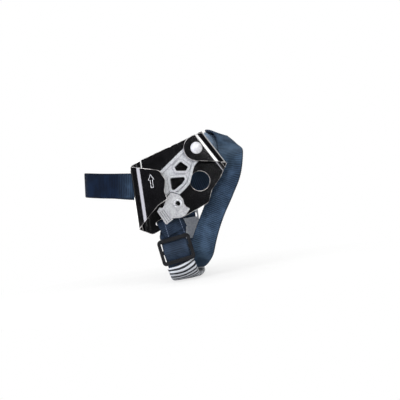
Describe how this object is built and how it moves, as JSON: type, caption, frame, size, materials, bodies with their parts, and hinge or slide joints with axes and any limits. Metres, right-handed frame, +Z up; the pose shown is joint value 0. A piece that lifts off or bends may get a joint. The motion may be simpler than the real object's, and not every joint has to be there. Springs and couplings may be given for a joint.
{
  "type": "foot ascender",
  "caption": "Rope clamp on a bent plate with a sprung toothed cam, worn on a boot by webbing straps round heel, instep and arch.",
  "frame": {"origin": "on the rope channel's axis, at the channel's mid height", "axes": "+Z up along the rope, +X towards the toe, +Y from the plate towards the boot"},
  "size_m": [0.1337, 0.1182, 0.119],
  "materials": {
    "anodised_sheet": "black anodised, glossy",
    "cast_cam": "tumbled cast steel",
    "catch_steel": "tumbled cast steel",
    "rivet_steel": "polished",
    "washer_steel": "plain",
    "bush_brass": "turned",
    "spring_steel": "drawn wire",
    "navy_webbing": "woven polyester",
    "dark_webbing": "woven polyester",
    "striped_webbing": "woven, black and white ribs",
    "slider_black": "satin",
    "buckle_steel": "pressed",
    "lever_alloy": "black anodised",
    "keeper_rubber": "moulded"
  },
  "bodies": {
    "frame": {"frame_plate": "anodised_sheet", "cam_axle": "rivet_steel", "axle_washer_front": "washer_steel", "axle_washer_rear": "washer_steel", "ankle_strap": "navy_webbing", "cross_strap": "navy_webbing", "sole_strap": "dark_webbing", "slot_loop": "dark_webbing", "wear_sleeve": "striped_webbing", "sole_slider": "slider_black", "buckle_frame": "buckle_steel", "buckle_pin": "rivet_steel", "buckle_tab": "dark_webbing", "tail_keeper": "keeper_rubber"},
    "cam": {"cam": "cast_cam", "cam_bush": "bush_brass", "cam_spring": "spring_steel", "catch_pin": "rivet_steel"},
    "catch": {"catch": "catch_steel", "catch_spring": "spring_steel"},
    "buckle_lever": {"buckle_lever": "lever_alloy", "buckle_spring": "spring_steel"}
  },
  "joints": [
    {"name": "cam_hinge", "type": "hinge", "parent": "frame", "child": "cam", "pos_m": [0.0441, 0, 0.0316], "axis": [0, -1, 0], "range_deg": [-10, 45], "stiffness_Nm_per_rad": 0.05, "springref_deg": -20.05},
    {"name": "catch_hinge", "type": "hinge", "parent": "cam", "child": "catch", "pos_m": [0.0236, 0, -0.0087], "axis": [0, -1, 0], "range_deg": [0, 25], "stiffness_Nm_per_rad": 0.01, "springref_deg": -28.65},
    {"name": "buckle_lever_hinge", "type": "hinge", "parent": "frame", "child": "buckle_lever", "pos_m": [0.025, 0.1032, -0.028], "axis": [1, 0, 0], "range_deg": [0, 80], "stiffness_Nm_per_rad": 0.02, "springref_deg": -22.92}
  ]
}
